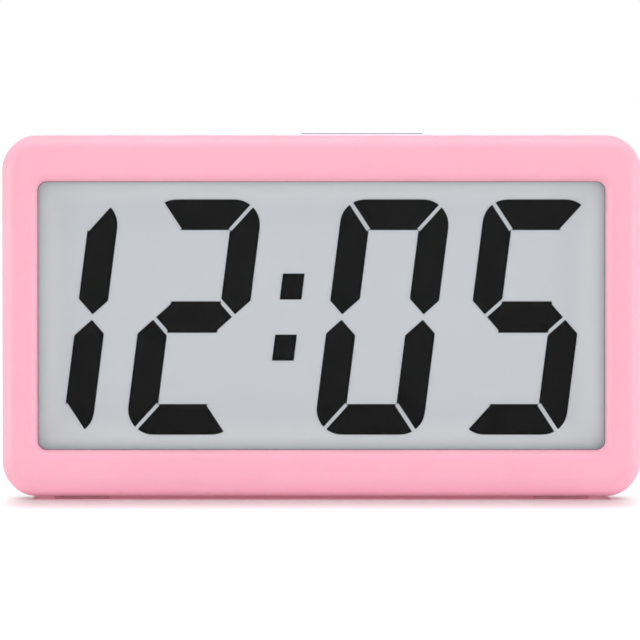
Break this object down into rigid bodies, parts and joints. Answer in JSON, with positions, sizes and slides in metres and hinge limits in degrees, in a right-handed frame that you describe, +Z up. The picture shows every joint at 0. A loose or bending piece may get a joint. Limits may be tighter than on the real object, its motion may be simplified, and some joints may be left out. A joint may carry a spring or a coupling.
{
  "type": "digital desk clock",
  "caption": "Slim battery desk clock: a rounded pink frame round a large display, a snooze key on top, and buttons, a fold-out stand and a battery bay behind.",
  "frame": {"origin": "on the table under the middle of the case, level with the underside of the pads", "axes": "+Z up, +X to the right as the display is read, -Y out of the display towards the reader"},
  "size_m": [0.165, 0.025, 0.0945],
  "materials": {
    "pink_plastic": "satin moulded ABS, pale pink",
    "clear_window": "clear moulded acrylic",
    "display_glass": "thin display glass with a matt front film",
    "segment_black": "dark liquid-crystal segments",
    "seal_resin": "cured resin seal",
    "reflector_grey": "pale grey reflector film",
    "white_plastic": "natural white ABS",
    "connector_rubber": "layered conducting rubber strip",
    "board_green": "green solder resist over glass laminate",
    "resin_black": "black moulded package",
    "can_metal": "plain drawn can",
    "capacitor_tan": "ceramic chip",
    "switch_black": "black moulded switch body",
    "plunger_white": "white moulded plunger",
    "button_grey": "light grey moulded, satin",
    "screw_steel": "zinc-plated steel",
    "contact_nickel": "nickel-plated spring steel",
    "cell_jacket": "plain printed jacket over a steel can, no wording",
    "foot_rubber": "translucent grey rubber"
  },
  "bodies": {
    "case": {"buzzer": "resin_black", "capacitor_lower": "capacitor_tan", "capacitor_upper": "capacitor_tan", "case_screw_high_left": "screw_steel", "case_screw_high_right": "screw_steel", "case_screw_low_left": "screw_steel", "case_screw_low_right": "screw_steel", "cell_lower": "cell_jacket", "cell_upper": "cell_jacket", "clock_chip": "resin_black", "contact_link": "contact_nickel", "contact_negative": "contact_nickel", "contact_positive": "contact_nickel", "display_window": "clear_window", "foot_back_left": "foot_rubber", "foot_back_right": "foot_rubber", "foot_front_left": "foot_rubber", "foot_front_right": "foot_rubber", "front_bezel": "pink_plastic", "lcd_connector": "connector_rubber", "lcd_front_glass": "display_glass", "lcd_holder": "white_plastic", "lcd_rear_glass": "display_glass", "lcd_reflector": "reflector_grey", "lcd_seal": "seal_resin", "lcd_segments": "segment_black", "main_board": "board_green", "quartz_crystal": "can_metal", "rear_housing": "pink_plastic", "slide_switch": "switch_black", "spring_lower": "contact_nickel", "spring_upper": "contact_nickel", "switch_down": "switch_black", "switch_mode": "switch_black", "switch_set": "switch_black", "switch_snooze": "switch_black", "switch_up": "switch_black"},
    "snooze": {"snooze_key": "button_grey", "plunger_snooze": "plunger_white"},
    "mode_button": {"button_mode": "button_grey", "plunger_mode": "plunger_white"},
    "set_button": {"button_set": "button_grey", "plunger_set": "plunger_white"},
    "up_button": {"button_up": "button_grey", "plunger_up": "plunger_white"},
    "down_button": {"button_down": "button_grey", "plunger_down": "plunger_white"},
    "alarm_slider": {"alarm_slider": "button_grey", "alarm_lever": "plunger_white"},
    "battery_cover": {"battery_cover": "pink_plastic"},
    "kickstand": {"kickstand": "pink_plastic"}
  },
  "joints": [
    {"name": "snooze_press", "type": "slide", "parent": "case", "child": "snooze", "axis": [0, 0, -1], "range_m": [0, 0.0006], "stiffness_N_per_m": 1500},
    {"name": "mode_press", "type": "slide", "parent": "case", "child": "mode_button", "axis": [0, -1, 0], "range_m": [0, 0.0005], "stiffness_N_per_m": 1500},
    {"name": "set_press", "type": "slide", "parent": "case", "child": "set_button", "axis": [0, -1, 0], "range_m": [0, 0.0005], "stiffness_N_per_m": 1500},
    {"name": "up_press", "type": "slide", "parent": "case", "child": "up_button", "axis": [0, -1, 0], "range_m": [0, 0.0005], "stiffness_N_per_m": 1500},
    {"name": "down_press", "type": "slide", "parent": "case", "child": "down_button", "axis": [0, -1, 0], "range_m": [0, 0.0005], "stiffness_N_per_m": 1500},
    {"name": "alarm_slide", "type": "slide", "parent": "case", "child": "alarm_slider", "axis": [1, 0, 0], "range_m": [0, 0.003]},
    {"name": "cover_tilt", "type": "hinge", "parent": "case", "child": "battery_cover", "pos_m": [-0.051, 0.0125, 0.01124], "axis": [-1, 0, 0], "range_deg": [0, 35]},
    {"name": "stand_hinge", "type": "hinge", "parent": "case", "child": "kickstand", "pos_m": [0, 0.0105, 0.0588], "axis": [1, 0, 0], "range_deg": [0, 30]}
  ]
}
